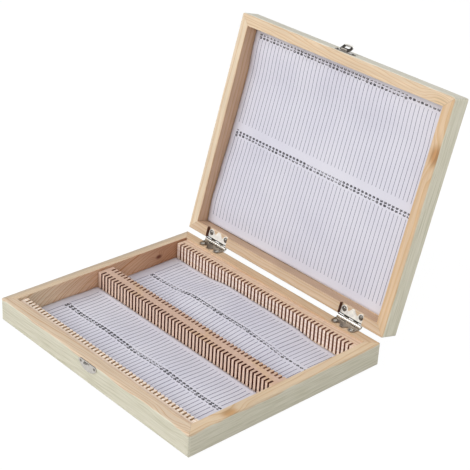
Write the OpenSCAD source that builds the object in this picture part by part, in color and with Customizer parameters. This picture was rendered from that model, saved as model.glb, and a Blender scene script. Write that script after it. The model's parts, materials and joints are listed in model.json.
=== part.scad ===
// Wooden microscope slide box: two rows of slide slots in the base, a hinged lid that stands open past upright,
// ruled index sheets, two stop hinges and a hasp latch.
// Millimetres, Z up. The origin is the centre of the base's underside, the front (latch) side faces -Y.

/* [Slides and slots] */
// Length of the slides that the box stores
slide_len = 76; // [60:0.5:90]
// Play of a slide between the bottoms of its two slots
slide_play = 3.5; // [1:0.1:6]
// Slots in each row
slots_per_row = 50; // [10:1:60]
// Distance from one slot to the next
slot_pitch = 4.08; // [3:0.02:6]
// Width of a slot
slot_w = 1.8; // [1.2:0.1:2.4]
// Depth of a slot
slot_depth = 4.8; // [2.5:0.1:5.5]

/* [Racks] */
// Width of the rack along the front rail
front_rack_w = 9; // [7:0.1:16]
// Width of the rack between the two rows, slotted on both sides
middle_rack_w = 15; // [13:0.1:24]
// Width of the rack along the back rail
back_rack_w = 11.1; // [7:0.1:16]
// Solid wood past the last slot at each end of a rack
rack_end_w = 3.5; // [1.5:0.1:12]
// Gap between a rack's end and the side rail
rack_end_gap = 1.3; // [0:0.1:3]
// How far the racks stop below the base's rim
rack_drop = 1.6; // [0.5:0.1:5]

/* [Frame] */
// Thickness of the rails
rail_t = 9.3; // [8.5:0.1:14]
// Height of the base's rails
base_h = 19.5; // [17:0.5:40]
// Height of the lid's rails
lid_h = 17; // [15:0.5:40]
// Rounding of the long outer edges
edge_r = 1.5; // [0.5:0.1:2.5]
// Rounding of the upright corners
corner_r = 2.5; // [0.5:0.1:4]
// Thickness of the bottom and top panels
panel_t = 3; // [2:0.1:5]
// Width of the rabbet that a panel sits in
rabbet_w = 4.5; // [2:0.1:6]
// Play round a panel in its rabbet
panel_play = 0.2; // [0.1:0.05:0.6]
// Gap between the two rims when the lid is shut
lid_gap = 0.3; // [0.2:0.05:1]
// How far the lid stands open from shut, in degrees
lid_open = 105.1; // [95:0.1:115]

/* [Index sheets] */
// Thickness of the paper
sheet_t = 0.2; // [0.1:0.05:0.5]
// Gap between a sheet's edge and the wood round it
sheet_play = 0.6; // [0.2:0.1:2]

/* [Hinges] */
// Length of a hinge
hinge_len = 25; // [20:0.5:40]
// Distance from the box's end to the hinge
hinge_inset = 23; // [12:0.5:60]
// Distance of the hinge pin behind the back face
hinge_overhang = 1.5; // [0.8:0.1:2.5]
// Thickness of a hinge leaf
leaf_t = 0.7; // [0.6:0.05:1.1]
// Width of the leaf's full-length strip inside the back face
leaf_shoulder_w = 1.2; // [0.9:0.1:2]
// Distance from the back face to the bottoms of the leaf's two notches
leaf_notch_w = 5; // [3.2:0.1:5.4]
// Reach of the leaf's lobes and of its middle point from the back face
leaf_reach = 8.4; // [7.8:0.1:8.9]
// Radius of a lobe round its screw
lobe_r = 3.2; // [2.6:0.05:3.4]
// Distance from the leaf's end to the edge of its lobe
lobe_inset = 0.4; // [0.2:0.1:1.6]
// Half width of the leaf's middle point at its foot
point_half_w = 4; // [3:0.1:4.4]
// Half width of the middle point's blunt tip
point_tip_half_w = 1.3; // [0.4:0.1:2]
// Diameter of a hinge pin
hinge_pin_d = 1.7; // [1.6:0.1:2.8]
// Radial clearance of a pin in its knuckles
pin_clear = 0.05; // [0.02:0.01:0.1]
// Gap between neighbouring knuckles
knuckle_gap = 0.25; // [0.15:0.05:0.5]
// Gap between a barrel and the wood or the leaf opposite
barrel_clear = 0.25; // [0.2:0.05:0.6]
// Gap between a mortise's end walls and the leaf
mortise_play = 0.35; // [0.2:0.05:0.6]
// Reach of the stop heel below the pin when the lid is open
heel_reach = 5.6; // [4:0.1:8]
// How much narrower the stop heel is than its knuckle on each side
heel_side = 0.4; // [0.2:0.1:1.2]
// Gap between the stop heel and the back face when the lid is open
heel_gap = 0.05; // [0.02:0.01:0.2]

/* [Screws] */
// Diameter of a hinge screw's shank
screw_d = 1.8; // [1.2:0.1:2.2]
// Length of a hinge screw in the wood
screw_grip = 5; // [3:0.5:6]
// Diameter of a hinge screw's head
screw_head_d = 3.8; // [3:0.1:4.2]
// Height of a hinge screw's raised head
screw_head_h = 0.8; // [0.5:0.05:1]
// Width of a screw's slot
screw_slot_w = 0.5; // [0.3:0.05:0.8]
// Depth of a screw's slot
screw_slot_depth = 0.35; // [0.2:0.05:0.45]
// Radial clearance of a screw or nail in its hole
hole_clear = 0.04; // [0.02:0.01:0.1]

/* [Latch] */
// Distance between the two nails of a latch plate
plate_nail_gap = 16.4; // [14:0.1:24]
// Radius of a latch plate's ends
plate_end_r = 2.3; // [1.8:0.1:2.8]
// Height of a latch plate
plate_h = 8; // [7:0.1:9]
// Thickness of a latch plate
plate_t = 0.7; // [0.5:0.05:1]
// Distance from the lid's rim to its latch plate
plate_rim_gap = 1.2; // [1:0.1:3]
// Height of the hasp's pin above the lid's rim
hasp_pin_h = 2.7; // [2.7:0.1:4]
// Diameter of the hasp's pin
hasp_pin_d = 1.2; // [0.9:0.1:1.3]
// Wall of the rolled knuckle that holds the pin
hasp_knuckle_t = 0.8; // [0.75:0.05:0.9]
// Length of the rolled knuckle
hasp_knuckle_len = 6.4; // [5:0.1:9]
// Gap between the knuckle and the hasp's legs
hasp_side_gap = 0.3; // [0.2:0.05:0.6]
// Thickness of the hasp's strap
hasp_t = 1; // [0.8:0.05:1.3]
// Width of the hasp's strap
hasp_w = 2; // [1.8:0.1:2.2]
// Distance from the hasp's pin to the middle of its crossbar
hasp_reach = 5.4; // [5:0.1:7]
// Rounding of the hasp's outer corners
hasp_corner_r = 1.8; // [1.3:0.1:2.5]
// Head of the hasp's pin past its legs
hasp_pin_head = 0.5; // [0.3:0.05:1]
// How far the hasp swings from latched to folded back, in degrees
hasp_swing = 145; // [100:1:150]
// Width of the hook on the catch plate
hook_w = 5.4; // [3:0.1:6]
// Thickness of the hook
hook_t = 0.8; // [0.6:0.05:1.2]
// How far the hook stands past the latched crossbar
hook_past = 0.6; // [0.3:0.1:1.5]
// Gap between the hook and the latched crossbar
hook_clear = 0.45; // [0.35:0.05:0.8]
// Plate above the hook
hook_margin = 0.2; // [0.1:0.05:1]
// Diameter of a latch nail's shank
nail_d = 1.2; // [0.8:0.1:1.6]
// Length of a latch nail in the wood
nail_grip = 5; // [3:0.5:7]
// Diameter of a latch nail's head
nail_head_d = 2.4; // [1.8:0.1:3]
// Height of a latch nail's head
nail_head_h = 0.5; // [0.3:0.05:0.8]

/* [Hidden] */
$fn = 48;
// Overshoot of cutting shapes past the face that they cut
over = 1;
// Knuckles of one hinge, the base's and the lid's in turn
knuckles = 5;

// Rows and racks
row_gap = slide_len + slide_play - 2 * slot_depth;
rack_len = (slots_per_row - 1) * slot_pitch + slot_w + 2 * rack_end_w;
rack_h = base_h - panel_t - rack_drop;
inside_w = rack_len + 2 * rack_end_gap;
inside_d = front_rack_w + middle_rack_w + back_rack_w + 2 * row_gap;
box_w = inside_w + 2 * rail_t;
box_d = inside_d + 2 * rail_t;
front_y = -box_d / 2;
back_y = box_d / 2;
front_rack_y = front_y + rail_t;
middle_rack_y = front_rack_y + front_rack_w + row_gap;
back_rack_y = middle_rack_y + middle_rack_w + row_gap;

// Lid, in its shut place
lid_z = base_h + lid_gap;
lid_panel_z = lid_z + lid_h - panel_t;

// Hinges: the pin lies along X, and the leaves lie one above the other when the lid is shut
barrel_r = hinge_pin_d / 2 + leaf_t;
hinge_y = back_y + hinge_overhang;
hinge_z = base_h + barrel_clear + barrel_r;
hinge_x = box_w / 2 - hinge_inset - hinge_len / 2;
mortise_z = hinge_z + barrel_r + barrel_clear;
lobe_x = hinge_len / 2 - lobe_inset - lobe_r;
lobe_v = hinge_overhang + leaf_reach - lobe_r;
notch_v = hinge_overhang + leaf_notch_w;
point_v = hinge_overhang + leaf_reach;
shoulder_v = hinge_overhang + leaf_shoulder_w;
knuckle_len = (hinge_len - (knuckles - 1) * knuckle_gap) / knuckles;
knuckle_step = knuckle_len + knuckle_gap;

// Latch: nails, pin, hasp and hook, with the lid shut
nail_x = plate_nail_gap / 2;
hasp_knuckle_r = hasp_pin_d / 2 + hasp_knuckle_t;
hasp_y = front_y - plate_t - hasp_knuckle_r;
hasp_z = lid_z + hasp_pin_h;
hasp_eye_r = hasp_w / 2;
hasp_inner_x = hasp_knuckle_len / 2 + hasp_side_gap;
hasp_outer_x = hasp_inner_x + hasp_t;
crossbar_top = hasp_z - hasp_reach + hasp_t / 2;
hook_z = crossbar_top + hook_clear;
hook_tip_y = hasp_y - hasp_w / 2 - hook_past;
catch_top = hook_z + hook_t + hook_margin;
latch_z = lid_z + plate_rim_gap;

pine = "#dcbf9c";
rack_pine = "#ecd6be";
painted = "#d9d9c8";
paper = "#dcd8e4";
nickel = "#c4c2be";
nickel_dark = "#96938e";

// The lid's pieces are drawn shut and turned open about the hinge pin
module opened() {
    translate([0, hinge_y, hinge_z])
        rotate([-lid_open, 0, 0])
            translate([0, -hinge_y, -hinge_z])
                children();
}

// Section of a rail: outer face at x = 0, the panel's rabbet at the foot of the inner face
module rail_section(h) {
    difference() {
        union() {
            translate([edge_r, 0]) square([rail_t - edge_r, h]);
            translate([0, edge_r]) square([edge_r, h - 2 * edge_r]);
            for (v = [edge_r, h - edge_r]) translate([edge_r, v]) circle(edge_r);
        }
        translate([rail_t - rabbet_w, -over]) square([rabbet_w + over, panel_t + over]);
    }
}

// Plan of a rail: mitred ends, and the box's corners rounded
module rail_plan(len) {
    intersection() {
        polygon([
            [-len / 2 - over, -over], [len / 2 + over, -over],
            [len / 2 - rail_t - over, rail_t + over], [-len / 2 + rail_t + over, rail_t + over]
        ]);
        union() {
            translate([-len / 2 + corner_r, -over]) square([len - 2 * corner_r, rail_t + 2 * over]);
            translate([-len / 2, corner_r]) square([len, rail_t]);
            for (s = [-1, 1]) translate([s * (len / 2 - corner_r), corner_r]) circle(corner_r);
        }
    }
}

// One rail along X, its outer face at y = 0 and its foot at z = 0
module rail(len, h) {
    intersection() {
        rotate([90, 0, 90]) translate([0, 0, -len / 2 - over]) linear_extrude(len + 2 * over) rail_section(h);
        translate([0, 0, -over]) linear_extrude(h + 2 * over) rail_plan(len);
    }
}

// A rail of the lid has its rabbet at the top
module lid_rail(len) {
    translate([0, 0, lid_z + lid_h]) mirror([0, 0, 1]) rail(len, lid_h);
}

// Puts a rail that lies along the front on one of the four sides
module on_front() { translate([0, front_y, 0]) children(); }
module on_back() { rotate([0, 0, 180]) translate([0, front_y, 0]) children(); }
module on_left() { translate([-box_w / 2, 0, 0]) rotate([0, 0, -90]) children(); }
module on_right() { translate([box_w / 2, 0, 0]) rotate([0, 0, 90]) children(); }

// A panel that fills the frame's rabbet
module panel() {
    edge = rail_t - rabbet_w + panel_play;
    translate([-box_w / 2 + edge, front_y + edge, 0]) cube([box_w - 2 * edge, box_d - 2 * edge, panel_t]);
}

// Solid strip of a rack of width w at y, from the depth of its front slots to the depth of its back slots
module rack_strip(y, w, front_slots, back_slots) {
    low = front_slots ? slot_depth : 0;
    high = back_slots ? w - slot_depth : w;
    translate([-rack_len / 2, y + low, panel_t]) cube([rack_len, high - low, rack_h]);
}

// Row of teeth that stands between the slots, its back at y; the first and the last tooth run to the rack's ends
module tooth_row(y) {
    first_x = -(slots_per_row - 1) / 2 * slot_pitch;
    for (i = [0 : slots_per_row]) {
        low = i == 0 ? -rack_len / 2 : first_x + (i - 1) * slot_pitch + slot_w / 2;
        high = i == slots_per_row ? rack_len / 2 : first_x + i * slot_pitch - slot_w / 2;
        translate([low, y, panel_t]) cube([high - low, slot_depth, rack_h]);
    }
}

// Paper on the floor of one row, from the rack face at y = low to the next one at y = high
module row_sheet(low, high) {
    translate([-inside_w / 2 + sheet_play, low + sheet_play, panel_t])
        cube([inside_w - 2 * sheet_play, high - low - 2 * sheet_play, sheet_t]);
}

// Outline of a hinge leaf: x along the pin, v from the pin towards the inside of the box. Each end has a round lobe
// for its screw, and a point stands between them
module leaf_plan() {
    half = [
        [hinge_len / 2, 0], [hinge_len / 2, shoulder_v], [lobe_x + lobe_r, lobe_v], [lobe_x - lobe_r, lobe_v],
        [point_half_w, notch_v], [point_tip_half_w, point_v]
    ];
    polygon(concat(half, [for (i = [len(half) - 1 : -1 : 0]) [-half[i][0], half[i][1]]]));
    for (s = [-1, 1]) translate([s * lobe_x, lobe_v]) circle(lobe_r);
}

// Knuckles along the pin: the base's (first = 0) or the lid's (first = 1)
module knuckle_row(first) {
    for (i = [first : 2 : knuckles - 1])
        translate([-hinge_len / 2 + i * knuckle_step, 0, 0])
            rotate([0, 90, 0])
                cylinder(r = barrel_r, h = knuckle_len);
}

// Flat leaf with screw holes, cut back round the knuckles of the other leaf
module leaf_plate(other) {
    linear_extrude(leaf_t)
        difference() {
            leaf_plan();
            for (s = [-1, 1]) translate([s * lobe_x, lobe_v]) circle(d = screw_d + 2 * hole_clear);
            for (i = [other : 2 : knuckles - 1])
                translate([-hinge_len / 2 + i * knuckle_step - knuckle_gap, -over])
                    square([knuckle_len + 2 * knuckle_gap, barrel_r + barrel_clear + over]);
        }
}

module pin_bore() {
    rotate([0, 90, 0]) cylinder(d = hinge_pin_d + 2 * pin_clear, h = hinge_len + 2 * over, center = true);
}

// Leaf that lies on the base's rim, its hinge centred on x
module base_leaf(x) {
    translate([x, hinge_y, hinge_z])
        difference() {
            union() {
                translate([0, 0, base_h - hinge_z]) mirror([0, 1, 0]) leaf_plate(1);
                knuckle_row(0);
            }
            pin_bore();
        }
}

// Heel that meets the back face when the lid is open, on each of the lid's knuckles
module stop_heel() {
    for (i = [1 : 2 : knuckles - 1])
        translate([-hinge_len / 2 + i * knuckle_step + heel_side, heel_gap - hinge_overhang, -heel_reach])
            cube([knuckle_len - 2 * heel_side, leaf_t, heel_reach]);
}

// Leaf that lies in the lid's mortise
module lid_leaf(x) {
    translate([x, 0, 0])
        difference() {
            union() {
                opened() translate([0, hinge_y, 0]) {
                    translate([0, 0, mortise_z - leaf_t]) mirror([0, 1, 0]) leaf_plate(0);
                    translate([0, 0, hinge_z]) knuckle_row(1);
                }
                translate([0, hinge_y, hinge_z]) stop_heel();
            }
            translate([0, hinge_y, hinge_z]) pin_bore();
        }
}

module hinge_pin(x) {
    translate([x, hinge_y, hinge_z]) rotate([0, 90, 0]) cylinder(d = hinge_pin_d, h = hinge_len, center = true);
}

// Children at each hinge screw, seen from above the leaf
module at_hinge_screws() {
    for (h = [-1, 1], s = [-1, 1]) translate([h * hinge_x + s * lobe_x, hinge_y - lobe_v, 0]) children();
}

// Raised-head screw, standing on z = 0 with its shank below; grip is its length past a leaf
module screw() {
    dome_r = (pow(screw_head_d / 2, 2) + pow(screw_head_h, 2)) / (2 * screw_head_h);
    difference() {
        intersection() {
            translate([0, 0, screw_head_h - dome_r]) sphere(dome_r);
            cylinder(d = screw_head_d, h = screw_head_h + over);
        }
        translate([-screw_head_d / 2 - over, -screw_slot_w / 2, screw_head_h - screw_slot_depth])
            cube([screw_head_d + 2 * over, screw_slot_w, screw_slot_depth + over]);
    }
    translate([0, 0, -leaf_t - screw_grip]) cylinder(d = screw_d, h = leaf_t + screw_grip);
}

// Hole for a screw or nail of diameter d, from z = 0 down
module hole(d, depth) {
    translate([0, 0, -depth - hole_clear]) cylinder(d = d + 2 * hole_clear, h = depth + hole_clear + over);
}

// Pocket for one hinge, sawn across the whole width of the lid's rim
module mortise(x) {
    half = hinge_len / 2 + mortise_play;
    translate([x - half, back_y - rail_t - over, lid_z - over])
        cube([2 * half, rail_t + 2 * over, mortise_z - lid_z + over]);
}

// Outline of a latch plate: straight edge at y = 0, round ends at the nails, one arc from end to end
module plate_plan() {
    arc_r = (pow(nail_x, 2) + pow(plate_h - plate_end_r, 2) - pow(plate_end_r, 2))
        / (2 * (plate_h - 2 * plate_end_r));
    arc_y = plate_h - arc_r;
    reach = 3;
    translate([-nail_x, 0]) square([2 * nail_x, plate_end_r]);
    for (s = [-1, 1]) translate([s * nail_x, plate_end_r]) circle(plate_end_r);
    intersection() {
        translate([0, arc_y]) circle(arc_r);
        polygon([
            [-nail_x, plate_end_r], [nail_x, plate_end_r],
            [nail_x * reach, arc_y + (plate_end_r - arc_y) * reach],
            [-nail_x * reach, arc_y + (plate_end_r - arc_y) * reach]
        ]);
    }
}

// Flat latch plate with its nail holes, standing against the front face
module plate_body() {
    translate([0, front_y, 0])
        rotate([90, 0, 0])
            linear_extrude(plate_t)
                difference() {
                    plate_plan();
                    for (s = [-1, 1]) translate([s * nail_x, plate_end_r]) circle(d = nail_d + 2 * hole_clear);
                }
}

// Places for what belongs to the catch plate (its straight edge up) and to the latch plate (straight edge down)
module at_catch() { translate([0, 0, catch_top]) mirror([0, 0, 1]) children(); }
module at_latch() { translate([0, 0, latch_z]) children(); }

// Children at both nails of a plate, z pointing out of the front face from the wood
module at_nails() {
    for (s = [-1, 1]) translate([s * nail_x, front_y, plate_end_r]) rotate([90, 0, 0]) children();
}

// Round-head nail through a latch plate
module nail() {
    dome_r = (pow(nail_head_d / 2, 2) + pow(nail_head_h, 2)) / (2 * nail_head_h);
    translate([0, 0, plate_t])
        intersection() {
            translate([0, 0, nail_head_h - dome_r]) sphere(dome_r);
            cylinder(d = nail_head_d, h = nail_head_h + over);
        }
    translate([0, 0, -nail_grip]) cylinder(d = nail_d, h = plate_t + nail_grip);
}

// Knuckle about the hasp's pin at the origin, rolled out of the plate's straight edge
module rolled_knuckle() {
    rotate([0, 90, 0]) cylinder(r = hasp_knuckle_r, h = hasp_knuckle_len, center = true);
    translate([-hasp_knuckle_len / 2, 0, -hasp_knuckle_r])
        cube([hasp_knuckle_len, hasp_knuckle_r + plate_t, hasp_knuckle_t]);
}

// Hook that stands out of the catch plate, with a round nose
module hook() {
    reach = front_y - hook_tip_y;
    nose_r = hook_w / 2;
    translate([0, front_y, hook_z])
        linear_extrude(hook_t)
            intersection() {
                translate([-nose_r, -reach]) square([hook_w, reach]);
                translate([0, nose_r - reach]) {
                    circle(nose_r);
                    translate([-nose_r, 0]) square([hook_w, reach]);
                }
            }
}

// Loop of strap in the X-Z plane, open at the top: inside half width x, foot at -z, corner radius r
module loop_plan(x, z, r) {
    translate([-x, -z + r]) square([2 * x, z - r]);
    translate([-x + r, -z]) square([2 * (x - r), 2 * r]);
    for (s = [-1, 1]) translate([s * (x - r), -z + r]) circle(r);
}

// Hasp hanging down from its pin at the origin, as when it is latched
module hasp() {
    difference() {
        union() {
            rotate([90, 0, 0])
                translate([0, 0, -hasp_w / 2])
                    linear_extrude(hasp_w)
                        difference() {
                            loop_plan(hasp_outer_x, hasp_reach + hasp_t / 2, hasp_corner_r);
                            translate([0, over])
                                loop_plan(hasp_inner_x, hasp_reach - hasp_t / 2 + over, hasp_corner_r - hasp_t);
                        }
            for (s = [-1, 1])
                translate([s * (hasp_inner_x + hasp_t / 2), 0, 0])
                    rotate([0, 90, 0])
                        cylinder(r = hasp_eye_r, h = hasp_t, center = true);
        }
        rotate([0, 90, 0]) cylinder(d = hasp_pin_d + 2 * pin_clear, h = 2 * hasp_outer_x + 2 * over, center = true);
    }
}

module base_front_rail() {
    color(painted)
        difference() {
            on_front() rail(box_w, base_h);
            at_catch() at_nails() hole(nail_d, nail_grip);
        }
}
module base_back_rail() {
    color(painted)
        difference() {
            on_back() rail(box_w, base_h);
            translate([0, 0, base_h]) at_hinge_screws() hole(screw_d, screw_grip);
        }
}
module base_left_rail() { color(painted) on_left() rail(box_d, base_h); }
module base_right_rail() { color(painted) on_right() rail(box_d, base_h); }
module base_bottom_panel() { color(pine) panel(); }

module front_rack() { color(rack_pine) rack_strip(front_rack_y, front_rack_w, false, true); }
module front_rack_teeth() { color(rack_pine) tooth_row(front_rack_y + front_rack_w - slot_depth); }
module middle_rack() { color(rack_pine) rack_strip(middle_rack_y, middle_rack_w, true, true); }
module middle_rack_teeth() {
    color(rack_pine)
        for (y = [middle_rack_y, middle_rack_y + middle_rack_w - slot_depth]) tooth_row(y);
}
module back_rack() { color(rack_pine) rack_strip(back_rack_y, back_rack_w, true, false); }
module back_rack_teeth() { color(rack_pine) tooth_row(back_rack_y); }

module front_index_sheet() { color(paper) row_sheet(front_rack_y + front_rack_w, middle_rack_y); }
module back_index_sheet() { color(paper) row_sheet(middle_rack_y + middle_rack_w, back_rack_y); }

module lid_front_rail() {
    color(painted)
        opened()
            difference() {
                on_front() lid_rail(box_w);
                at_latch() at_nails() hole(nail_d, nail_grip);
            }
}
module lid_back_rail() {
    color(painted)
        opened()
            difference() {
                on_back() lid_rail(box_w);
                for (h = [-1, 1]) mortise(h * hinge_x);
                translate([0, 0, mortise_z]) mirror([0, 0, 1]) at_hinge_screws() hole(screw_d, screw_grip);
            }
}
module lid_left_rail() { color(painted) opened() on_left() lid_rail(box_d); }
module lid_right_rail() { color(painted) opened() on_right() lid_rail(box_d); }
module lid_top_panel() { color(painted) opened() translate([0, 0, lid_panel_z]) panel(); }
module lid_index_sheet() {
    color(paper)
        opened()
            translate([-inside_w / 2 + sheet_play, -inside_d / 2 + sheet_play, lid_panel_z - sheet_t])
                cube([inside_w - 2 * sheet_play, inside_d - 2 * sheet_play, sheet_t]);
}

module left_hinge_base_leaf() { color(nickel) base_leaf(-hinge_x); }
module left_hinge_lid_leaf() { color(nickel) lid_leaf(-hinge_x); }
module left_hinge_pin() { color(nickel_dark) hinge_pin(-hinge_x); }
module right_hinge_base_leaf() { color(nickel) base_leaf(hinge_x); }
module right_hinge_lid_leaf() { color(nickel) lid_leaf(hinge_x); }
module right_hinge_pin() { color(nickel_dark) hinge_pin(hinge_x); }
module hinge_base_screws() {
    color(nickel_dark) translate([0, 0, base_h + leaf_t]) at_hinge_screws() screw();
}
module hinge_lid_screws() {
    color(nickel_dark)
        opened() translate([0, 0, mortise_z - leaf_t]) mirror([0, 0, 1]) at_hinge_screws() screw();
}

module catch_plate() {
    color(nickel) {
        at_catch() plate_body();
        hook();
    }
}
module catch_nails() { color(nickel_dark) at_catch() at_nails() nail(); }
module latch_plate() {
    color(nickel)
        opened()
            difference() {
                union() {
                    at_latch() plate_body();
                    translate([0, hasp_y, hasp_z]) rolled_knuckle();
                }
                translate([0, hasp_y, hasp_z])
                    rotate([0, 90, 0])
                        cylinder(d = hasp_pin_d + 2 * pin_clear, h = hasp_knuckle_len + 2 * over, center = true);
            }
}
module latch_nails() { color(nickel_dark) opened() at_latch() at_nails() nail(); }
module latch_pin() {
    color(nickel_dark)
        opened()
            translate([0, hasp_y, hasp_z])
                rotate([0, 90, 0])
                    cylinder(d = hasp_pin_d, h = 2 * (hasp_outer_x + hasp_pin_head), center = true);
}
module latch_hasp() {
    color(nickel)
        opened() translate([0, hasp_y, hasp_z]) rotate([-hasp_swing, 0, 0]) hasp();
}

base_front_rail();
base_back_rail();
base_left_rail();
base_right_rail();
base_bottom_panel();
front_rack();
front_rack_teeth();
middle_rack();
middle_rack_teeth();
back_rack();
back_rack_teeth();
front_index_sheet();
back_index_sheet();
lid_front_rail();
lid_back_rail();
lid_left_rail();
lid_right_rail();
lid_top_panel();
lid_index_sheet();
left_hinge_base_leaf();
left_hinge_lid_leaf();
left_hinge_pin();
right_hinge_base_leaf();
right_hinge_lid_leaf();
right_hinge_pin();
hinge_base_screws();
hinge_lid_screws();
catch_plate();
catch_nails();
latch_plate();
latch_nails();
latch_pin();
latch_hasp();
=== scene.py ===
# %% [markdown]
# # A wooden box for microscope slides
# The real box is a low pine case with a hinged lid. Slides stand on edge in two rows, held by sawn slots in
# three strips of wood, and ruled paper on the floor and in the lid gives each slot a number. The outside
# has a thin pale wash, the rims and the inside are bare pine, and the fittings are plated with nickel. The
# solids come from the CAD frame, so this lesson is about what makes them look real: wood, paper, print,
# metal.

# %% load the frame
import json
import math
import bmesh
import bpy
import numpy as np
from mathutils import Matrix, Vector

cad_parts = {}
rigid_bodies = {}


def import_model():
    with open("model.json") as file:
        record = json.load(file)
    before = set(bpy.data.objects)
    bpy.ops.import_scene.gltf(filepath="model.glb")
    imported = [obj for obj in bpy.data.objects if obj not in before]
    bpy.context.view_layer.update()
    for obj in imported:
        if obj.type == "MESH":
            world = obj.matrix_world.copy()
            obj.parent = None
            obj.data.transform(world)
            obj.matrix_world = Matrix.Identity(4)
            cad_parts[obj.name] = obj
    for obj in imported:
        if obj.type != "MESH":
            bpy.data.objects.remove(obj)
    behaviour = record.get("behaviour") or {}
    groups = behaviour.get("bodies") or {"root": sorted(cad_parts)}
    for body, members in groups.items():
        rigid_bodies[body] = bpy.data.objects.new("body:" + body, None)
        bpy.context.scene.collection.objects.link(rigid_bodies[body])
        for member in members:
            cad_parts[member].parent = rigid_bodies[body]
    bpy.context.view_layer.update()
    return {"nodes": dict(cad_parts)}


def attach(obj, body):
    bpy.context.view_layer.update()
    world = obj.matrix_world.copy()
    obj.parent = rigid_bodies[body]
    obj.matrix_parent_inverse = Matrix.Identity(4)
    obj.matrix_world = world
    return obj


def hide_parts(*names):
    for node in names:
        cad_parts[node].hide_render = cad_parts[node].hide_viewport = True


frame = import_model()

# %% [markdown]
# Sizes are written once, in millimetres. The lid is drawn open, so everything on it is thought of in the
# shut box and then turned about the hinge pin. That is easier than working on the slant.

# %% sizes of the box
MM = 0.001
BOX_W, BOX_D = 229.92, 193.5
BASE_H, LID_H, LID_GAP = 19.5, 17.0, 0.3
RAIL_T, PANEL_T = 9.3, 3.0
INSIDE_X, INSIDE_Y = BOX_W / 2 - RAIL_T, BOX_D / 2 - RAIL_T
LID_RIM = BASE_H + LID_GAP
LID_TOP = LID_RIM + LID_H
LID_OPEN = math.radians(105.1)
PIN_BEHIND, PIN_OVER = 1.5, 1.8
HINGE_Y, HINGE_Z = BOX_D / 2 + PIN_BEHIND, BASE_H + PIN_OVER
HINGE_X, HINGE_HALF = 79.46, 12.5
SLOTS, SLOT_PITCH = 50, 4.08


def opened(points):
    """Points of the shut lid in millimetres, turned open about the hinge pin."""
    c, s = math.cos(-LID_OPEN), math.sin(-LID_OPEN)
    y, z = points[:, 1] - HINGE_Y, points[:, 2] - HINGE_Z
    return np.column_stack([points[:, 0], HINGE_Y + y * c - z * s, HINGE_Z + y * s + z * c])


print("box", BOX_W, "by", BOX_D, "mm, lid open by", round(math.degrees(LID_OPEN), 1), "degrees")

# %% [markdown]
# The camera stands where the photographer stood: to the right of the front corner and above the box. Its
# place and its three axes were worked out from the box's corners, so it is set by a matrix and not by a
# target.

# %% camera
CAMERA_AT = (669.54, -595.91, 567.14)
CAMERA_RIGHT = (0.66909, 0.74117, 0.05464)
CAMERA_DOWN = (0.37803, -0.27613, -0.88365)
FOCAL_PIXELS, IMAGE_PIXELS, SENSOR_MM = 1345.49, 470, 36.0


def linked(name, data):
    """A new object in the scene."""
    thing = bpy.data.objects.new(name, data)
    bpy.context.scene.collection.objects.link(thing)
    return thing


lens = bpy.data.cameras.new("camera")
lens.sensor_width = SENSOR_MM
lens.lens = SENSOR_MM * FOCAL_PIXELS / IMAGE_PIXELS
lens.clip_end = 20
camera = linked("camera", lens)
right, up = Vector(CAMERA_RIGHT).normalized(), -Vector(CAMERA_DOWN).normalized()
back = right.cross(up).normalized()
turn = Matrix((right, back.cross(right), back)).transposed().to_4x4()
camera.matrix_world = Matrix.Translation(Vector(CAMERA_AT) * MM) @ turn
bpy.context.scene.camera = camera
print("lens", round(lens.lens, 1), "mm")

# %% [markdown]
# A few small helpers carry all the node work. One turns a colour as a painter would note it, in sRGB hex,
# into the linear values that Blender computes with. The main one adds a node, sets it and links what feeds
# it.

# %% helpers for nodes
MATH, VECTOR, RANGE, MIX = "ShaderNodeMath", "ShaderNodeVectorMath", "ShaderNodeMapRange", "ShaderNodeMix"
SPLIT, JOIN = "ShaderNodeSeparateXYZ", "ShaderNodeCombineXYZ"
RAMP, COORDS, BUMP = "ShaderNodeValToRGB", "ShaderNodeTexCoord", "ShaderNodeBump"
SMOOTH, RGBA = {"interpolation_type": "SMOOTHSTEP"}, {"data_type": "RGBA"}
TINT = {**RGBA, "blend_type": "MULTIPLY"}


def paint(code):
    """sRGB hex to a linear RGBA colour."""
    channels = [int(code[i:i + 2], 16) / 255 for i in (1, 3, 5)]
    return [c / 12.92 if c <= 0.04045 else ((c + 0.055) / 1.055) ** 2.4 for c in channels] + [1.0]


def feed(tree, node, feeds):
    """Feeds a node: feeds maps a socket's name or number to a value, a node or another node's socket."""
    for key, value in feeds.items():
        if isinstance(value, bpy.types.Node):
            value = value.outputs[0]
        if isinstance(value, bpy.types.NodeSocket):
            tree.links.new(value, node.inputs[key])
        else:
            node.inputs[key].default_value = value


def add(tree, kind, feeds=None, operation=None, **settings):
    """Adds one node with its settings, and feeds it."""
    node = tree.nodes.new(kind)
    if operation:
        node.operation = operation
    for key, value in settings.items():
        setattr(node, key, value)
    feed(tree, node, feeds or {})
    return node


def bare_tree(owner):
    """Turns on the nodes of a material or world and empties the tree."""
    owner.use_nodes = True
    owner.node_tree.nodes.clear()
    return owner.node_tree


def new_material(name):
    """An empty node material and its Principled shader, wired to the output."""
    material = bpy.data.materials.new(name)
    tree = bare_tree(material)
    shader = add(tree, "ShaderNodeBsdfPrincipled")
    add(tree, "ShaderNodeOutputMaterial", {"Surface": shader})
    return material, tree, shader


def stops(ramp, places):
    """Sets a colour ramp to (place, colour) stops and returns it."""
    elements = ramp.color_ramp.elements
    while len(elements) > 1:
        elements.remove(elements[-1])
    elements[0].position, elements[0].color = places[0]
    for place, colour in places[1:]:
        elements.new(place).color = colour
    return ramp


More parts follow.
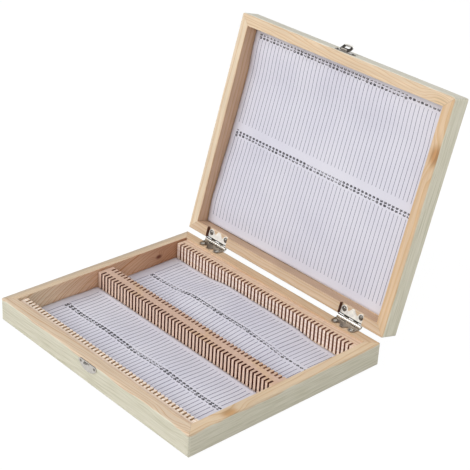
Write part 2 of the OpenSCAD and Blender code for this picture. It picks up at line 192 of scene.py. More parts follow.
def shut_place(tree, on_lid=False):
    """Place in the shut box, in millimetres, for a shader: Object coordinates, turned shut on the lid."""
    place = add(tree, COORDS).outputs["Object"]
    if on_lid:
        place = add(tree, "ShaderNodeVectorRotate", {
            "Vector": place, "Center": (0, HINGE_Y * MM, HINGE_Z * MM), "Axis": (1, 0, 0), "Angle": LID_OPEN})
    return add(tree, VECTOR, {0: place, "Scale": 1 / MM}, "SCALE")


def from_pin(tree, place, pin=(HINGE_Y, HINGE_Z)):
    """How far a place is from a pin's axis. For the hinge pin it is the same with the lid open or shut."""
    axes = add(tree, SPLIT, {0: place}).outputs
    flat = [add(tree, MATH, {0: axes[i], 1: middle}, "SUBTRACT") for i, middle in zip((1, 2), pin)]
    flat = add(tree, JOIN, {0: flat[0], 1: flat[1]})
    return add(tree, VECTOR, {0: flat}, "LENGTH").outputs["Value"]


print("helpers ready")

# %% [markdown]
# ## Pine
# A pine rail is a stick sawn out of a trunk, and what the eye reads is the growth rings: pale spring wood,
# then a thin orange line of summer wood. Painted stripes would run the same way on every face. Here the
# rings are real ones: tubes about a pith line that passes somewhere near the rail, often a little askew, so
# each face cuts them in its own way, with arcs where the pith comes close. A knot pushes the rings aside
# and shows its own darker disc. The rings are 0.8 to 3.2 mm wide, as in real boards. The fibre streaks are
# drawn about 0.6 mm wide, which is coarser than real fibres, because finer ones vanish at this picture
# size.

# %% growth rings and fibres
BLACK, WHITE = (0, 0, 0, 1), (1, 1, 1, 1)
RING_DRAWN, WANDER_SCALE, UNEVEN_SCALE, UNEVEN_YEARS = 0.2, 0.09, 0.45, 1.6
KNOT_DRAWN, KNOT_REACH, KNOT_PUSH = 0.6, 3.0, 0.7
STRAY, EVEN = 4.0, (1, 1, 1)


def drawn_out(along, share):
    """A squeeze that draws a pattern out along one axis."""
    return [share if axis == along else 1.0 for axis in range(3)]


def noise(tree, place, squeeze, scale, seed, detail=2.0):
    """Noise over millimetres, drawn out along an axis by a squeeze below 1; scale is patterns per mm."""
    place = add(tree, VECTOR, {0: place, 1: squeeze}, "MULTIPLY")
    return add(tree, "ShaderNodeTexNoise", {"Vector": place, "W": seed, "Scale": scale, "Detail": detail},
               noise_dimensions="4D").outputs[0]


def near_knot(tree, place, along, spot):
    """Distance from a knot's heart, with the knot drawn out along the grain."""
    away = add(tree, VECTOR, {0: place, 1: spot}, "SUBTRACT")
    away = add(tree, VECTOR, {0: away, 1: drawn_out(along, KNOT_DRAWN)}, "MULTIPLY")
    return add(tree, VECTOR, {0: away}, "LENGTH").outputs["Value"]


def growth_rings(tree, place, along, pith, lean, ring, knots, seed, stray=STRAY):
    """Where a point lies within its year's growth, from 0 in spring to 1 at the end of summer. stray is how
    many millimetres the rings wander."""
    axes = add(tree, SPLIT, {0: place}).outputs
    heart = [add(tree, MATH, {0: axes[along], 1: slope, 2: start}, "MULTIPLY_ADD")
             for start, slope in zip(pith, lean)]
    across = [add(tree, MATH, {0: axes[axis], 1: middle}, "SUBTRACT")
              for axis, middle in zip((1 - along, 2), heart)]
    radius = add(tree, VECTOR, {
        0: add(tree, JOIN, {0: across[0], 1: across[1]})}, "LENGTH").outputs["Value"]
    wander = noise(tree, place, drawn_out(along, RING_DRAWN), WANDER_SCALE, seed)
    radius = add(tree, MATH, {0: wander, 1: stray, 2: radius}, "MULTIPLY_ADD")
    for spot, size, _ in knots:
        push = add(tree, RANGE, {
            "Value": near_knot(tree, place, along, spot), "From Max": size * KNOT_REACH,
            "To Min": size * KNOT_PUSH, "To Max": 0.0}, interpolation_type="SMOOTHERSTEP")
        radius = add(tree, MATH, {0: radius, 1: push}, "ADD")
    years = add(tree, MATH, {0: radius, 1: 1 / ring}, "MULTIPLY")
    uneven = add(tree, "ShaderNodeTexNoise", {"W": years, "Scale": UNEVEN_SCALE}, noise_dimensions="1D")
    years = add(tree, MATH, {0: uneven, 1: UNEVEN_YEARS, 2: years}, "MULTIPLY_ADD")
    return add(tree, MATH, {0: years}, "FRACT")


print("ring helpers ready")

# %% [markdown]
# The wash is a thin pale coat that was rolled on the outside before the rims were trimmed. So it ends in a
# slightly ragged line just round each outer edge, and the grain shows through it as faint streaks. Which
# surface is washed follows from the place alone: anything next to the shut box's outer faces. The lid's wash
# is painted a little paler, and most of all its front: painted light, for faces of the open lid that catch
# more light. The outer edge of the rims is painted grey, in a band about 1 mm wide, and on the left most of
# the rim: painted shade where the rounded edge turns away from the light. The base's edges were eased with
# sandpaper, which took the wash off again here and there, down to 1.7 mm.

# %% the washed outside
WASH, WASH_LINE, WASH_PALE = paint("#D9D4BF"), paint("#C3BFA6"), paint("#E6E2D1")
WASH_EDGE = 0.4
# The lid's two coat factors make its wash paler than the base's: painted light.
BASE_COAT, LID_LIT_COAT, LID_FRONT_LIT_COAT = (1.0, 1.0, 1.0), (1.1, 1.1, 1.1), (1.17, 1.18, 1.26)
# The grey band on the rims' outer edges is painted shade; these set how strong it is and how fast it fades
# down the side.
CORNER_R, EDGE_SHADE, EDGE_SHADE_DOWN = 2.5, 0.75, 5.0
SANDED_DOWN, SANDED_SOFT, SANDED_SCALE, SANDED_SEED = 1.7, 0.4, 0.03, 5.0
RAGGED, THIN_ON_SUMMER = 0.8, 0.6


def past_outline(tree, place):
    """How far a place is outside the box's outline in plan, with its round corners; below 0 within it."""
    over = add(tree, VECTOR, {0: place}, "ABSOLUTE")
    over = add(tree, VECTOR, {
        0: over, 1: (BOX_W / 2 - CORNER_R, BOX_D / 2 - CORNER_R, 0)}, "SUBTRACT")
    over = add(tree, VECTOR, {0: over, 1: (1, 1, 0)}, "MULTIPLY")
    axes = add(tree, SPLIT, {0: over}).outputs
    straight = add(tree, MATH, {0: axes[0], 1: axes[1]}, "MAXIMUM")
    straight = add(tree, MATH, {0: straight, 1: 0.0}, "MINIMUM")
    round_part = add(tree, VECTOR, {0: over, 1: (0, 0, 0)}, "MAXIMUM")
    round_part = add(tree, VECTOR, {0: round_part}, "LENGTH").outputs["Value"]
    past = add(tree, MATH, {0: straight, 1: round_part}, "ADD")
    return add(tree, MATH, {0: past, 1: CORNER_R}, "SUBTRACT")


def shaded_edge_band(tree, place, on_lid, grey, width, colour):
    """Painted shade: greys the outer edge of the rim over a width in millimetres, and hardly the side below
    it.
    """
    height = add(tree, SPLIT, {0: place}).outputs[2]
    away = {0: height, 1: LID_RIM} if on_lid else {0: BASE_H, 1: height}
    away = add(tree, MATH, away, "SUBTRACT")
    away = add(tree, MATH, {0: away, 1: EDGE_SHADE_DOWN}, "MULTIPLY")
    away = add(tree, MATH, {0: away, 1: past_outline(tree, place)}, "SUBTRACT")
    mask = add(tree, RANGE, {"Value": away, "From Max": width, "To Min": EDGE_SHADE, "To Max": 0.0}, **SMOOTH)
    return add(tree, MIX, {"Factor": mask, 6: colour, 7: paint(grey)}, **RGBA).outputs[2]


def washed(tree, place, on_lid, late, fibre, bare, paler):
    """Covers the bare wood with the wash on the outside of the box."""
    height = add(tree, SPLIT, {0: place}).outputs[2]
    flat = {0: height, 1: LID_TOP} if on_lid else {0: 0.0, 1: height}
    flat = add(tree, MATH, flat, "SUBTRACT")
    outer = add(tree, MATH, {0: past_outline(tree, place), 1: flat}, "MAXIMUM")
    outer = add(tree, MATH, {0: outer, 1: WASH_EDGE}, "ADD")
    outer = add(tree, MATH, {0: fibre, 1: RAGGED, 2: outer}, "MULTIPLY_ADD")
    mask = add(tree, RANGE, {"Value": outer, "From Min": 0.2, "From Max": 0.6}, **SMOOTH)
    if not on_lid:
        sanded = noise(tree, place, (1, 1, 0), SANDED_SCALE, SANDED_SEED)
        sanded = add(tree, RANGE, {
            "Value": sanded, "From Min": 0.44, "From Max": 0.62, "To Max": SANDED_DOWN})
        down = add(tree, MATH, {0: BASE_H, 1: height}, "SUBTRACT")
        down = add(tree, MATH, {0: down, 1: sanded}, "SUBTRACT")
        kept = add(tree, RANGE, {"Value": down, "From Min": -SANDED_SOFT, "From Max": SANDED_SOFT},
                   **SMOOTH)
        mask = add(tree, MATH, {0: mask, 1: kept}, "MULTIPLY")
    thin = add(tree, MATH, {0: late, 1: THIN_ON_SUMMER}, "MULTIPLY")
    coat = add(tree, MIX, {"Factor": thin, 6: WASH, 7: WASH_LINE}, **RGBA).outputs[2]
    streak = add(tree, RANGE, {"Value": fibre, "From Min": 0.42, "From Max": 0.72})
    coat = add(tree, MIX, {"Factor": streak, 6: coat, 7: WASH_PALE}, **RGBA).outputs[2]
    streak = add(tree, RANGE, {"Value": fibre, "From Min": 0.45, "From Max": 0.25, "To Max": 0.9})
    coat = add(tree, MIX, {"Factor": streak, 6: coat, 7: WASH_LINE}, **RGBA).outputs[2]
    coat = add(tree, VECTOR, {0: coat, 1: paler}, "MULTIPLY")
    return add(tree, MIX, {"Factor": mask, 6: bare, 7: coat}, **RGBA).outputs[2]


def mitred(tree, place, colour):
    """Darkens the thin line of the mitre where two rails meet at a corner."""
    axes = add(tree, SPLIT, {0: place}).outputs
    sides = [add(tree, MATH, {0: axes[i]}, "ABSOLUTE") for i in (0, 1)]
    seam = add(tree, MATH, {0: sides[0], 1: sides[1]}, "SUBTRACT")
    away = add(tree, MATH, {0: seam, 1: (BOX_W - BOX_D) / 2}, "SUBTRACT")
    away = add(tree, MATH, {0: away}, "ABSOLUTE")
    shade = add(tree, RANGE, {"Value": away, "From Min": 0.1, "From Max": 0.4, "To Min": 0.82,
                              "To Max": 1.0}, **SMOOTH)
    return add(tree, VECTOR, {0: colour, "Scale": shade}, "SCALE").outputs[0]


print("wash ends", WASH_EDGE, "mm inside the outer faces")

# %% [markdown]
# One function now puts the pine together, and each rail gets a board of its own. The inside of the left
# rails is tinted browner: partly heartwood, which shows because it is the side that faces the camera, and
# partly painted shade, darkest towards the back of the base. The knots in the right rails nearly line up,
# since the base and the lid of such a box are sawn apart from one frame. The end walls of the hinge mortises
# are painted nearly black, and so is the wood behind the barrel: painted shade in the recesses. The end
# walls are the only faces of the lid's back rail that look straight along X.

# %% pine boards
EARLY, MIDDLE = paint("#E7D3B8"), paint("#E2CAAB")
# Painted shade for the mortise end walls and the wood round the hinge pin.
MORTISE_SHADE, MORTISE_SHADE_R = paint("#5A3526"), 2.5
WALL_TINT_FROM, WALL_TINT_TO = -100.0, 100.0
FIBRE_DRAWN, FIBRE_SCALE, CLOUD_SCALE = 0.03, 1.6, 0.03
KNOT_CORE, KNOT_EDGE, KNOT_LINES, END_WALL, SUMMER_RELIEF = 0.3, 1.3, -0.3, 0.9, 0.5


def pine(name, seed, pith, lean, ring, along=0, knots=(), wash=True, heart=(), recess_shade=False, tone="#FFFFFF",
         summer="#D7B78F", grey=("#C9BFB2", 1.2), stray=STRAY, coat=None):
    """Pine with real rings for one board. along is the grain's axis (0 X, 1 Y), pith the ring centre across
    it in the shut box, lean how far the pith moves across per millimetre along, ring the width of a year,
    knots a list of (place, radius, colour), heart the browner tints of an inner wall at places along the
    grain, partly heartwood and partly painted shade, tone the board's own tint, summer the colour of its
    summer wood, grey the colour and width of its edge band of painted shade, stray how far its rings wander,
    and coat how pale its wash is, made paler on the lid as painted light. The mortise end walls and the wood
    behind the barrel can be painted nearly black as painted shade."""
    on_lid, rail = name.startswith("lid"), name.endswith("_rail")
    for word in ("_rail", "_top", "_bottom"):
        name = name.replace(word, "")
    material, tree, shader = new_material("pine_" + name)
    place = shut_place(tree, on_lid)
    fibre = noise(tree, place, drawn_out(along, FIBRE_DRAWN), FIBRE_SCALE, seed + 3, 3.0)
    phase = growth_rings(tree, place, along, pith, lean, ring, knots, seed, stray)
    colour = stops(add(tree, RAMP, {0: phase}), [
        (0.0, EARLY), (0.4, EARLY), (0.72, MIDDLE), (0.9, paint(summer)), (1.0, EARLY)])
    late = stops(add(tree, RAMP, {0: phase}), [
        (0.0, BLACK), (0.4, BLACK), (0.88, WHITE), (1.0, BLACK)])
    tint = add(tree, RANGE, {"Value": fibre, "From Min": 0.3, "From Max": 0.7, "To Min": 0.91,
                             "To Max": 1.06})
    cloud = noise(tree, place, EVEN, CLOUD_SCALE, seed + 7, 1.0)
    cloud = add(tree, RANGE, {"Value": cloud, "From Min": 0.3, "From Max": 0.7, "To Min": 0.94,
                              "To Max": 1.04})
    tint = add(tree, MATH, {0: tint, 1: cloud}, "MULTIPLY")
    colour = add(tree, VECTOR, {0: colour, "Scale": tint}, "SCALE").outputs[0]
    colour = add(tree, MIX, {"Factor": 1.0, 6: colour, 7: paint(tone)}, **TINT).outputs[2]
    # Browner tint on the inner wall: partly heartwood, partly painted shade.
    if heart:
        axes = add(tree, SPLIT, {0: place}).outputs
        inner = add(tree, MATH, {0: axes[1 - along]}, "ABSOLUTE")
        edge = INSIDE_X if along else INSIDE_Y
        inner = add(tree, RANGE, {"Value": inner, "From Min": edge + 0.5, "From Max": edge + 0.1})
        where = add(tree, RANGE, {"Value": axes[along], "From Min": WALL_TINT_FROM, "From Max": WALL_TINT_TO})
        heart_and_shade_tint = stops(add(tree, RAMP, {0: where}), [
            ((at - WALL_TINT_FROM) / (WALL_TINT_TO - WALL_TINT_FROM), paint(tint)) for at, tint in heart])
        colour = add(tree, MIX, {"Factor": inner, 6: colour, 7: heart_and_shade_tint}, **TINT).outputs[2]
    for spot, size, tint in knots:
        away = near_knot(tree, place, along, spot)
        mask = add(tree, RANGE, {"Value": away, "From Min": size * KNOT_CORE, "From Max": size * KNOT_EDGE,
                                 "To Min": 1.0, "To Max": 0.0}, **SMOOTH)
        dark = add(tree, MATH, {0: late, 1: KNOT_LINES, 2: 1.0}, "MULTIPLY_ADD")
        disc = add(tree, VECTOR, {0: paint(tint)[:3], "Scale": dark}, "SCALE")
        colour = add(tree, MIX, {"Factor": mask, 6: colour, 7: disc}, **RGBA).outputs[2]
    if wash:
        # On the lid the wash is painted paler, and most on its front: painted light.
        colour = washed(tree, place, on_lid, late, fibre, colour, coat or (LID_LIT_COAT if on_lid else BASE_COAT))
    # Painted shade: the mortise end walls and the wood close behind the barrel are painted nearly black.
    if recess_shade:
        facing = add(tree, SPLIT, {0: add(tree, COORDS).outputs["Normal"]}).outputs[0]
        facing = add(tree, MATH, {0: facing}, "ABSOLUTE")
        side = add(tree, SPLIT, {0: place}).outputs[0]
        side = add(tree, MATH, {0: side}, "ABSOLUTE")
        behind = add(tree, MATH, {0: side, 1: HINGE_X, 2: HINGE_HALF}, "COMPARE")
        close = add(tree, MATH, {0: from_pin(tree, place), 1: MORTISE_SHADE_R}, "LESS_THAN")
        behind = add(tree, MATH, {0: behind, 1: close}, "MULTIPLY")
        mask = add(tree, MATH, {0: facing, 1: END_WALL}, "GREATER_THAN")
        mask = add(tree, MATH, {0: mask, 1: behind}, "MAXIMUM")
        colour = add(tree, MIX, {"Factor": mask, 6: colour, 7: MORTISE_SHADE}, **RGBA).outputs[2]
    # The grey band on the outer edge is painted shade.
    if rail:
        colour = mitred(tree, place, shaded_edge_band(tree, place, on_lid, *grey, colour))
    relief = add(tree, MATH, {0: late, 1: SUMMER_RELIEF, 2: fibre}, "MULTIPLY_ADD")
    feed(tree, shader, {
        "Base Color": colour, "Specular IOR Level": 0.3,
        "Roughness": add(tree, RANGE, {"Value": fibre, "To Min": 0.52, "To Max": 0.7}),
        "Normal": add(tree, BUMP, {"Height": relief, "Strength": 0.35, "Distance": 0.05 * MM})})
    return material


edge_x, edge_y = BOX_W / 2, BOX_D / 2
# Inner-wall tints: partly heartwood, partly painted shade, darkest towards the back of the base.
BASE_WALL_HEART_AND_SHADE = [(-70, "#FFFFFF"), (-15, "#FAE3DB"), (25, "#F6DCD0"), (60, "#D2AF9F")]
LID_WALL_HEART_AND_SHADE = [(0, "#E9D8D2")]
# The grey edge colours below are painted shade, darkest on the back and left rails.
BOARDS = {
    "base_front_rail": dict(
        pith=(-edge_y - 14, 2), lean=(0.02, 0.04), ring=1.7, tone="#F5F3F4", summer="#CFA578",
        knots=[((92, -101, 19.5), 6.0, "#E0CCB4")]),
    "base_back_rail": dict(
        pith=(edge_y + 22, -8), lean=(-0.03, 0.0), ring=2.6, tone="#F0E6DE", grey=("#A89D90", 1.6)),
    "base_left_rail": dict(
        along=1, pith=(-edge_x - 55, -7), lean=(0.15, 0.0), ring=0.8, stray=0.8, summer="#C99B6C",
        heart=BASE_WALL_HEART_AND_SHADE, knots=[((-105.7, 56.8, 10.4), 2.2, "#74402C")], grey=("#B5A897", 7.0)),
    "base_right_rail": dict(
        along=1, pith=(edge_x + 16, -14), lean=(-0.03, 0.02), ring=2.6, tone="#F6F1EA",
        knots=[((111.8, -57, 19.5), 4.8, "#CBA172")]),
    "lid_front_rail": dict(
        pith=(-edge_y - 12, 44), lean=(0.015, -0.05), ring=1.4, tone="#FAF5F0", coat=LID_FRONT_LIT_COAT,
        knots=[((103, -90, 19.8), 5.0, "#E0C4A0")], grey=("#D3C5B2", 1.2)),
    "lid_back_rail": dict(
        pith=(edge_y + 16, 50), lean=(-0.02, 0.02), ring=1.7, tone="#F0EAE8", recess_shade=True,
        heart=[(0, "#F4EBE8")]),
    "lid_left_rail": dict(along=1, pith=(-edge_x - 20, 52), lean=(0.02, 0.02), ring=2.8, heart=LID_WALL_HEART_AND_SHADE),
    "lid_right_rail": dict(
        along=1, pith=(edge_x + 14, 40), lean=(0.02, -0.03), ring=2.6, tone="#F3E8DC", summer="#DDC09A",
        knots=[((112.3, -51, 19.8), 5.5, "#C39465")]),
    "lid_top_panel": dict(pith=(-30, 110), lean=(0.02, 0.05), ring=3.2),
    "base_bottom_panel": dict(pith=(20, -70), lean=(0.02, 0.04), ring=3.2, wash=False),
}
WOOD = {name: pine(name, float(seed), **board) for seed, (name, board) in enumerate(BOARDS.items(), 1)}
print("pine boards:", len(WOOD))

# %% [markdown]
# ## Sawn racks
# The racks are freshly cut pine, paler than the rails. The walls of the slots are painted darker as painted
# shade in the narrow cuts, least in the front rack and most on the front side of the middle one, and the
# planed tops are yellower than the faces. Which is which follows from the way a surface faces: the slot walls
# face along X, and the bottoms of the slots face along Y on the strip that the teeth stand on.

# %% rack wood
MIDDLE_Y = -1.05
RACK_PITH, RACK_LEAN, RACK_RING, RACK_SUMMER = (0, -40), (0.02, 0.03), 2.2, paint("#EACCB0")
RACK_DRAWN, RACK_FIBRE, TOOTH_SCALE = (0.04, 1, 1), 1.4, 0.35


def rack_wood(name, kerf_axis, pale, top, slot_shade, seed):
    """Pine for the racks, tinted on top; surfaces along kerf_axis between the ends are saw cuts, painted with
    a colour of painted shade each for the row in front of the middle rack's centre line and the row behind
    it."""
    material, tree, shader = new_material(name)
    place = shut_place(tree)
    phase = growth_rings(tree, place, 0, RACK_PITH, RACK_LEAN, RACK_RING, (), seed)
    face = stops(add(tree, RAMP, {0: phase}), [
        (0.0, paint(pale)), (0.5, paint(pale)), (0.9, RACK_SUMMER), (1.0, paint(pale))])
    fibre = noise(tree, place, RACK_DRAWN, RACK_FIBRE, seed, 3.0)
    each = noise(tree, place, (1, 0, 0), TOOTH_SCALE, seed + 5, 0.0)
    tint = add(tree, MATH, {0: fibre, 1: each}, "ADD")
    tint = add(tree, RANGE, {"Value": tint, "From Min": 0.6, "From Max": 1.4, "To Min": 0.9,
                             "To Max": 1.06})
    face = add(tree, VECTOR, {0: face, "Scale": tint}, "SCALE")
    normal = add(tree, SPLIT, {0: add(tree, COORDS).outputs["Normal"]}).outputs
    tops = add(tree, MATH, {0: normal[2]}, "ABSOLUTE")
    colour = add(tree, MIX, {"Factor": tops, 6: face, 7: paint(top)}, **TINT).outputs[2]
    axes = add(tree, SPLIT, {0: place}).outputs
    inside = add(tree, MATH, {0: axes[0]}, "ABSOLUTE")
    inside = add(tree, MATH, {0: inside, 1: SLOTS * SLOT_PITCH / 2}, "LESS_THAN")
    kerf = add(tree, MATH, {0: normal[kerf_axis]}, "ABSOLUTE")
    kerf = add(tree, MATH, {0: kerf, 1: inside}, "MULTIPLY")
    # Painted shade in the slots, one colour for each side of the middle rack's centre line.
    behind = add(tree, MATH, {0: axes[1], 1: MIDDLE_Y}, "GREATER_THAN")
    recess_shade = add(tree, MIX, {"Factor": behind, 6: paint(slot_shade[0]), 7: paint(slot_shade[1])}, **RGBA)
    colour = add(tree, MIX, {"Factor": kerf, 6: colour, 7: recess_shade.outputs[2]}, **RGBA).outputs[2]
    feed(tree, shader, {
        "Base Color": colour, "Specular IOR Level": 0.25,
        "Roughness": add(tree, RANGE, {"Value": fibre, "To Min": 0.6, "To Max": 0.8}),
        "Normal": add(tree, BUMP, {"Height": fibre, "Strength": 0.4, "Distance": 0.08 * MM})})
    return material


# The pair of colours before the seed is the painted shade of the slots, in front and behind.
for rack, pale, strip, teeth, slot_shade, seed in (
        ("front", "#F8EADB", "#E6DFD8", "#FFFFFF", ("#BF9F7D", "#BF9F7D"), 11.0),
        ("middle", "#E8CCBB", "#EAE3DC", "#EAE3DC", ("#663122", "#94664A"), 12.0),
        ("back", "#FCE8DA", "#E8DED2", "#EDE5DA", ("#9C6A52", "#9C6A52"), 13.0)):
    WOOD[rack + "_rack"] = rack_wood("pine_%s_strip" % rack, 1, pale, strip, slot_shade, seed)
    WOOD[rack + "_rack_teeth"] = rack_wood("pine_%s_teeth" % rack, 0, pale, teeth, slot_shade, seed)
print("wooden pieces:", len(WOOD))

# %% [markdown]
# ## Nickel plate
# Thin stamped steel with a bright nickel coat, a little dull from handling. A metal has no colour of its
# own but what it reflects, so the base colour is nickel's warm grey, and roughness and tone wander between
# bright and dull. Some copies of the nickel are painted lighter or darker in place of what they reflect: the
# lid's leaves are painted light and are the brightest with the catch, the base leaves are painted shade, and
# the hasp and its plate, the pins, the nails and the lid's screws are painted darker still as shade. The
# hasp's crossbar carries a painted highlight. On the hinge leaves, painted shade lies in a ring round each
# screw, and on the lid's also along the barrel. How far a point is from the pin gives its place on either
# kind, so one drawing serves both. The rolled barrel is worn smooth, and the flat leaves are duller.

# %% nickel plate
LEAF_OFF, SCREW_X, SCREW_OUT, HEAD_R, BARREL_R = 1.1, 8.9, 6.7, 1.9, 1.55
# Painted shade on the hinge leaves: a dark ring round the screw heads and a dark band along the lid leaves'
# barrel.
CREASE_SHADE_COLOUR, SHADE_RING_FROM, SHADE_RING_TO, SHADE_RING_DARK = (0.06, 0.055, 0.045, 1), 0.15, 0.6, 0.15
CREASE_SHADE_STOPS, CREASE_SPAN = ((1.57, WHITE), (1.6, CREASE_SHADE_COLOUR), (2.65, CREASE_SHADE_COLOUR), (2.9, WHITE)), 10.0
BARREL, BARREL_ROUGH, BARREL_PLAY = paint("#CFCBC4"), 0.18, 0.02
SMEAR_SCALE, GRIT_SCALE = 0.5, 3.0
HASP_OUT, HASP_UP = 2.1, 2.7
HASP_PIN = opened(np.array([[0, -BOX_D / 2 - HASP_OUT, LID_RIM + HASP_UP]]))[0, 1:].tolist()
# The hasp's crossbar is painted pale: a painted highlight.
BAR_FROM, BAR_TO, BAR_ROUGH, BAR_HIGHLIGHT = 3.9, 4.7, 0.8, paint("#FAF8F4")


def leaf_painted_shade(tree, place, shaded_crease):
    """Painted shade round the screw heads of a hinge leaf, and, when asked, along its barrel."""
    axes = add(tree, SPLIT, {0: place}).outputs
    away = from_pin(tree, place)
    crease_shade = add(tree, MATH, {0: away, 1: 1 / CREASE_SPAN}, "MULTIPLY")
    crease_shade = stops(add(tree, RAMP, {0: crease_shade}), [
        (at / CREASE_SPAN, shade) for at, shade in (CREASE_SHADE_STOPS if shaded_crease else [(0.0, WHITE)])])
    out = add(tree, MATH, {0: away, 1: 2.0}, "POWER")
    out = add(tree, MATH, {0: out, 1: LEAF_OFF ** 2}, "SUBTRACT")
    out = add(tree, MATH, {0: out}, "SQRT")
    out = add(tree, MATH, {0: out, 1: SCREW_OUT}, "SUBTRACT")
    side = add(tree, MATH, {0: axes[0]}, "ABSOLUTE")
    for middle in (HINGE_X, SCREW_X):
        side = add(tree, MATH, {0: side, 1: middle}, "SUBTRACT")
        side = add(tree, MATH, {0: side}, "ABSOLUTE")
    round_head = add(tree, VECTOR, {
        0: add(tree, JOIN, {0: side, 1: out})}, "LENGTH").outputs["Value"]
    ring = add(tree, RANGE, {"Value": round_head, "From Min": HEAD_R + SHADE_RING_FROM,
                             "From Max": HEAD_R + SHADE_RING_TO, "To Min": SHADE_RING_DARK, "To Max": 1.0}, **SMOOTH)
    return add(tree, VECTOR, {0: crease_shade, "Scale": ring}, "SCALE")


def nickel(name, colour, rough_low, rough_high, seed, leaf=False, shaded_crease=False, hasp=False):
    """Plated steel of the given colour, with its roughness wandering between two values."""
    material, tree, shader = new_material(name)
    place = shut_place(tree)
    smear = noise(tree, place, EVEN, SMEAR_SCALE, seed, 3.0)
    rough = add(tree, RANGE, {"Value": smear, "From Min": 0.3, "From Max": 0.7, "To Min": rough_low,
                              "To Max": rough_high})
    tone = add(tree, RANGE, {"Value": smear, "From Min": 0.25, "From Max": 0.75, "To Min": 0.82,
                             "To Max": 1.06})
    dull = add(tree, VECTOR, {0: paint(colour)[:3], "Scale": tone}, "SCALE")
    if leaf:
        # Painted shade: darker round the screws, and along the barrel on the lid's leaves.
        dull = add(tree, VECTOR, {0: dull, 1: leaf_painted_shade(tree, place, shaded_crease)}, "MULTIPLY")
        flat = add(tree, MATH, {0: from_pin(tree, place), 1: BARREL_R + BARREL_PLAY}, "GREATER_THAN")
        rough = add(tree, RANGE, {"Value": flat, "To Min": BARREL_ROUGH, "To Max": rough})
        dull = add(tree, MIX, {"Factor": flat, 6: BARREL, 7: dull}, **RGBA).outputs[2]
    # Painted highlight: the crossbar is painted pale over the dark hasp.
    if hasp:
        bar_highlight = add(tree, RANGE, {"Value": from_pin(tree, place, HASP_PIN), "From Min": BAR_FROM,
                                "From Max": BAR_TO}, **SMOOTH)
        rough = add(tree, RANGE, {"Value": bar_highlight, "To Min": rough, "To Max": BAR_ROUGH})
        dull = add(tree, MIX, {"Factor": bar_highlight, 6: dull, 7: BAR_HIGHLIGHT}, **RGBA).outputs[2]
    grit = noise(tree, place, EVEN, GRIT_SCALE, seed)
    feed(tree, shader, {
        "Base Color": dull, "Roughness": rough, "Metallic": 1.0,
        "Normal": add(tree, BUMP, {"Height": grit, "Strength": 0.12, "Distance": 0.03 * MM})})
    return material


# Lit and shaded copies of one nickel: the lid leaves are painted light, the base leaves, the hasp and the
# darker pieces painted shade.
lit_nickel = nickel("nickel_painted_lit", "#FAF8F3", 0.62, 0.8, 1.0, leaf=True, shaded_crease=True)
shaded_nickel = nickel("nickel_painted_shade", "#9C9185", 0.26, 0.42, 2.0, leaf=True)
plate_nickel = nickel("nickel_plate", "#C8C4BE", 0.14, 0.3, 4.0)
darker_shaded_nickel = nickel("nickel_painted_dark_shade", "#7E7973", 0.12, 0.3, 3.0)
shaded_hasp_nickel = nickel("nickel_hasp_painted", "#4A4642", 0.12, 0.3, 5.0, hasp=True)
screw_nickel = nickel("nickel_screw", "#B9B4AD", 0.1, 0.25, 6.0)
METAL = {"latch_hasp": shaded_hasp_nickel, "catch_plate": plate_nickel, "hinge_base_screws": screw_nickel,
         "hinge_lid_screws": darker_shaded_nickel}
for side in ("left", "right"):
    METAL[side + "_hinge_lid_leaf"] = lit_nickel
    METAL[side + "_hinge_base_leaf"] = shaded_nickel
# Painted shade: these pieces take the darker copy of the nickel.
for name in ("left_hinge_pin", "right_hinge_pin", "latch_plate", "latch_pin", "latch_nails", "catch_nails"):
    METAL[name] = darker_shaded_nickel
print("plated pieces:", len(METAL))

# %% dress the solids
for name, material in {**WOOD, **METAL}.items():
    node = frame["nodes"][name]
    node.data.materials.clear()
    node.data.materials.append(material)
print("dressed", len(WOOD) + len(METAL), "solids")

# %% [markdown]
# ## Index sheets
# The paper lies loose, so damp has made it buckle: it lifts off the floor in long low waves, and in the lid
# it leans off the panel near the hinge. A flat sheet would look like card, so each sheet is a fine grid
# whose height comes from a few judged points, joined by smooth curves, and it is a closed shell with
# a paper's thickness.

# %% how the paper lies
def eased(t):
    """From 0 to 1 with a soft start and end."""
    t = np.clip(t, 0, 1)
    return t * t * (3 - 2 * t)


def smooth_line(places, heights):
    """A smooth curve through points, flat at each of them, as a function."""
    places, heights = np.array(places, float), np.array(heights, float)

    def curve(x):
        i = np.clip(np.searchsorted(places, x) - 1, 0, len(places) - 2)
        t = (x - places[i]) / (places[i + 1] - places[i])
        return heights[i] + (heights[i + 1] - heights[i]) * eased(t)

    return curve


SHEET_PLAY, PAPER_T, PAPER_LIES = 0.6, 0.15, 0.03
FRONT_ROW, BACK_ROW, SHEET_STEP = (-78.45, -8.55), (6.45, 76.35), 2.0
FRONT_LOW, FRONT_HIGH = FRONT_ROW[0] + SHEET_PLAY, FRONT_ROW[1] - SHEET_PLAY
BACK_LOW, BACK_HIGH = BACK_ROW[0] + SHEET_PLAY, BACK_ROW[1] - SHEET_PLAY
SHEET_X, LID_SHEET_Y = INSIDE_X - SHEET_PLAY, INSIDE_Y - SHEET_PLAY
CREST_AT = 0.5
front_crest = smooth_line([-105, -80, -46, -12, 24, 58, 84, 105], [1.3, 0.2, 1.7, 0.6, 2.2, 1.0, 1.4, 0.9])
front_across = smooth_line([FRONT_LOW, -58, -44, FRONT_HIGH], [0.5, 0.9, 1.0, 0.0])
front_edge = smooth_line([FRONT_LOW, -25, FRONT_HIGH], [0.0, 0.0, 0.9])
back_crest = smooth_line([-105, -84, -66, -38, -6, 20, 48, 68, 90, 105],
                         [0.3, 0.1, 1.1, 4.6, 4.0, 4.0, 2.7, 0.6, 0.8, 0.5])
back_foot = smooth_line([-105, -82, -65, -34, 6, 40, 66, 105], [0.8, 0.6, 0.8, 3.9, 3.6, 2.8, 0.1, 0.0])
